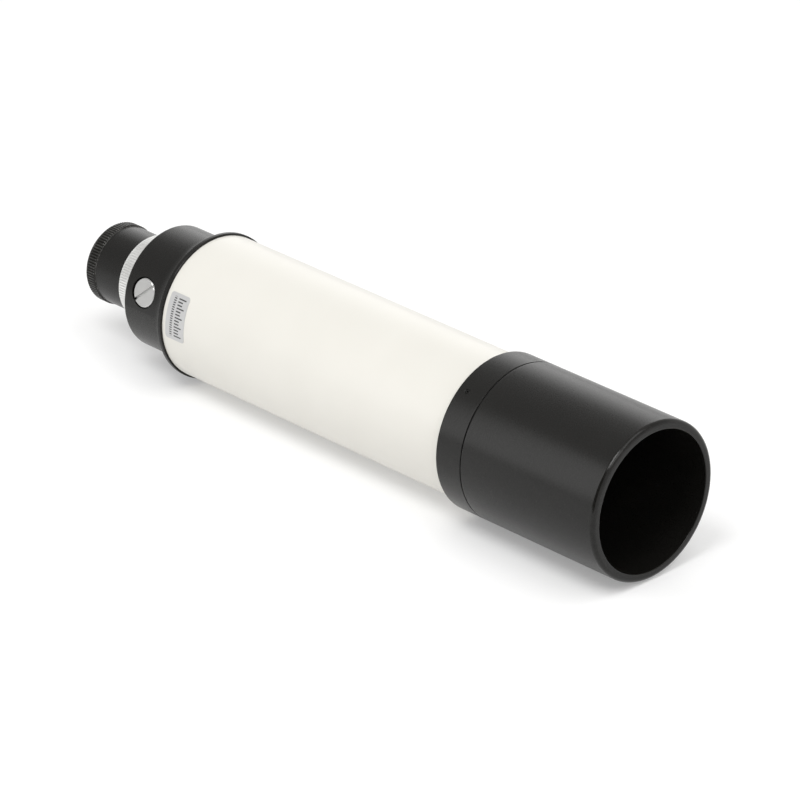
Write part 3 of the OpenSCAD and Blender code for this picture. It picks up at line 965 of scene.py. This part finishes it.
def make_floor():
    """The table, a little tilted, because the cell's ring and the smaller flange both rest on it."""
    front = Vector((RIM_X - CELL_RING_END * MM, 0, -SHIELD_R * MM))
    rear = Vector((RIM_X - TUBE_END * MM, 0, -FLANGE_R * MM))
    slope = math.atan2(rear.z - front.z, front.x - rear.x)
    tilt = Matrix.Translation(front) @ Matrix.Rotation(slope, 4, "Y")
    towards_camera = direction(CAMERA_AZIMUTH, 0)
    sideways = direction(CAMERA_AZIMUTH + 90, 0)
    edges = [(TABLE_FRONT, -TABLE_REACH), (TABLE_FRONT, TABLE_REACH),
             (-TABLE_REACH, TABLE_REACH), (-TABLE_REACH, -TABLE_REACH)]
    mesh = bpy.data.meshes.new("floor")
    corners = [tilt @ (towards_camera * near + sideways * side) for near, side in edges]
    mesh.from_pydata(corners, [], [(0, 1, 2, 3)])
    floor = bpy.data.objects.new("floor", mesh)
    bpy.context.scene.collection.objects.link(floor)
    # lit from below, like a photographer's acrylic table
    acrylic = Finish("floor_acrylic", Roughness=0.9, Specular_IOR_Level=0.2, Emission_Color=grey(1),
                     Emission_Strength=0.26)
    cloud = acrylic.noise(acrylic.position(), 1.2, detail=4.0)
    colour = acrylic.blend(acrylic.spread(cloud), grey(0.695), grey(0.705))
    mesh.materials.append(acrylic.done(Base_Color=colour))


def add_softbox(name, azimuth, elevation, distance, size, watts, aim=(0, 0, 0)):
    """A soft area light that faces the place it is aimed at. Lengths are in metres."""
    data = bpy.data.lights.new(name, "AREA")
    data.shape = "RECTANGLE"
    data.size, data.size_y = size
    data.energy = watts
    lamp = bpy.data.objects.new(name, data)
    bpy.context.scene.collection.objects.link(lamp)
    back = direction(azimuth, elevation)
    lamp.location = Vector(aim) + back * distance
    lamp.rotation_mode = "QUATERNION"
    lamp.rotation_quaternion = back.to_track_quat("Z", "Y")


def make_world():
    """White surroundings, darker overhead, with a dark patch low on the side that the port faces."""
    world = bpy.data.worlds.new("studio")
    bpy.context.scene.world = world
    world.use_nodes = True
    tree = world.node_tree
    background = tree.nodes["Background"]
    background.inputs["Color"].default_value = (1.0, 0.993, 0.98, 1)
    where = tree.nodes.new("ShaderNodeTexCoord").outputs["Generated"]

    def brightness(axis, low, high, at_low, at_high):
        """Strength that changes smoothly with how far a direction points along an axis."""
        towards = tree.nodes.new("ShaderNodeVectorMath")
        towards.operation = "DOT_PRODUCT"
        towards.inputs[1].default_value = axis
        tree.links.new(where, towards.inputs[0])
        ramp = tree.nodes.new("ShaderNodeMapRange")
        ramp.interpolation_type = "SMOOTHSTEP"
        limits = {"From Min": low, "From Max": high, "To Min": at_low, "To Max": at_high}
        for socket, value in limits.items():
            ramp.inputs[socket].default_value = value
        tree.links.new(towards.outputs["Value"], ramp.inputs["Value"])
        return ramp.outputs[0]

    strength = tree.nodes.new("ShaderNodeMath")
    strength.operation = "MULTIPLY"
    overhead = brightness((0, 0, 1), low=0.10, high=0.55, at_low=1.0, at_high=0.62)
    patch = brightness(direction(0, 12), low=0.72, high=0.86, at_low=1.0, at_high=0.04)
    tree.links.new(overhead, strength.inputs[0])
    tree.links.new(patch, strength.inputs[1])
    tree.links.new(strength.outputs[0], background.inputs["Strength"])


def make_camera():
    data = bpy.data.cameras.new("camera")
    data.lens = CAMERA_LENS
    data.clip_start, data.clip_end = 0.05, 60
    camera = bpy.data.objects.new("camera", data)
    bpy.context.scene.collection.objects.link(camera)
    back = direction(CAMERA_AZIMUTH, CAMERA_ELEVATION)
    camera.location = Vector(CAMERA_TARGET) + back * CAMERA_DISTANCE
    camera.rotation_mode = "QUATERNION"
    camera.rotation_quaternion = (-back).to_track_quat("-Z", "Y")
    bpy.context.scene.camera = camera


make_dew_shield()
make_objective_cell()
make_cell_screws()
make_objective()
make_main_tube()
make_label()
make_rear_housing()
make_port_plug()
make_port_washer()
make_lock_ring()
make_eyepiece_barrel()
make_eyepiece_cap()
make_eye_lens()
make_field_lens()
finish_cad_nodes()

make_floor()
make_world()
add_softbox("key", azimuth=110, elevation=65, distance=1.6, size=(0.9, 0.9), watts=4.6)
add_softbox("fill", azimuth=18, elevation=60, distance=1.6, size=(0.65, 0.65), watts=11.0)
add_softbox("rim", azimuth=72, elevation=42, distance=1.6, size=(0.7, 0.55), watts=3.6)
add_softbox("back", azimuth=-128, elevation=20, distance=1.6, size=(1.1, 0.9), watts=3.2)
# a small one close to the dew shield gives its side a soft band of light
add_softbox("side", azimuth=-41, elevation=21, distance=0.42, size=(0.20, 0.30), watts=0.38,
            aim=(0.15, -0.028, 0.013))
make_camera()
bpy.context.scene.view_settings.view_transform = "Standard"
